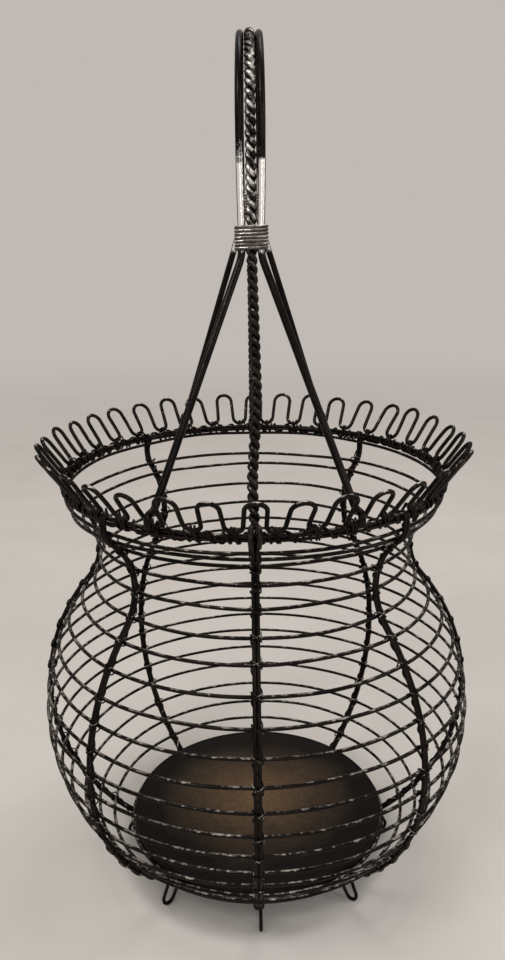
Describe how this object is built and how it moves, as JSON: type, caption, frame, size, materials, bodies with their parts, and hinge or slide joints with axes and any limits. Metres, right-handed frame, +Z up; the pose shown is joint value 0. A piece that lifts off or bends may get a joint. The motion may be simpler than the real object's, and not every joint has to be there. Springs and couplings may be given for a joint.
{
  "type": "egg collection basket",
  "caption": "Round-bellied wire basket for gathering eggs, with a looped crown, looped feet, a domed sheet base and a tall fixed carrying handle.",
  "frame": {"origin": "on the floor under the basket's vertical axis, level with the lowest points of the foot loops", "axes": "+Z up along the basket's axis; -Y is the front, and the handle arches from front to rear in the YZ plane"},
  "size_m": [0.2502, 0.2502, 0.4596],
  "materials": {
    "hoop_wire": "oxidised, worn on upper edges",
    "rib_wire": "oxidised",
    "tie_wire": "worn",
    "crown_wire": "oxidised, worn at the loop tops",
    "sheet_iron": "dark brown, satin",
    "handle_wire": "dark, worn bright at the sides",
    "binding_wire": "worn bright"
  },
  "bodies": {
    "root": {"hoop_01": "hoop_wire", "hoop_02": "hoop_wire", "hoop_03": "hoop_wire", "hoop_04": "hoop_wire", "hoop_05": "hoop_wire", "hoop_06": "hoop_wire", "hoop_07": "hoop_wire", "hoop_08": "hoop_wire", "hoop_09": "hoop_wire", "hoop_10": "hoop_wire", "hoop_11": "hoop_wire", "hoop_12": "hoop_wire", "hoop_13": "hoop_wire", "hoop_14": "hoop_wire", "hoop_15": "hoop_wire", "hoop_16": "hoop_wire", "hoop_17": "hoop_wire", "hoop_18": "hoop_wire", "base_ring": "hoop_wire", "rim_ring": "hoop_wire", "rim_slack_ring": "hoop_wire", "rib_1_footed": "rib_wire", "rib_2_footed": "rib_wire", "rib_3_footed": "rib_wire", "rib_4_footed": "rib_wire", "rib_5_footed": "rib_wire", "rib_6_footed": "rib_wire", "rib_7_footed": "rib_wire", "rib_8_footed": "rib_wire", "rib_1_plain": "rib_wire", "rib_2_plain": "rib_wire", "rib_3_plain": "rib_wire", "rib_4_plain": "rib_wire", "rib_5_plain": "rib_wire", "rib_6_plain": "rib_wire", "rib_7_plain": "rib_wire", "rib_8_plain": "rib_wire", "rib_1_tie": "tie_wire", "rib_2_tie": "tie_wire", "rib_3_tie": "tie_wire", "rib_4_tie": "tie_wire", "rib_5_tie": "tie_wire", "rib_6_tie": "tie_wire", "rib_7_tie": "tie_wire", "rib_8_tie": "tie_wire", "crown_tie": "tie_wire", "crown_wire_1": "crown_wire", "crown_wire_2": "crown_wire", "crown_wire_3": "crown_wire", "crown_wire_4": "crown_wire", "base_plate": "sheet_iron", "handle_rod_left": "handle_wire", "handle_rod_right": "handle_wire", "handle_twist": "handle_wire", "handle_binding_front": "binding_wire", "handle_binding_rear": "binding_wire"}
  },
  "joints": []
}
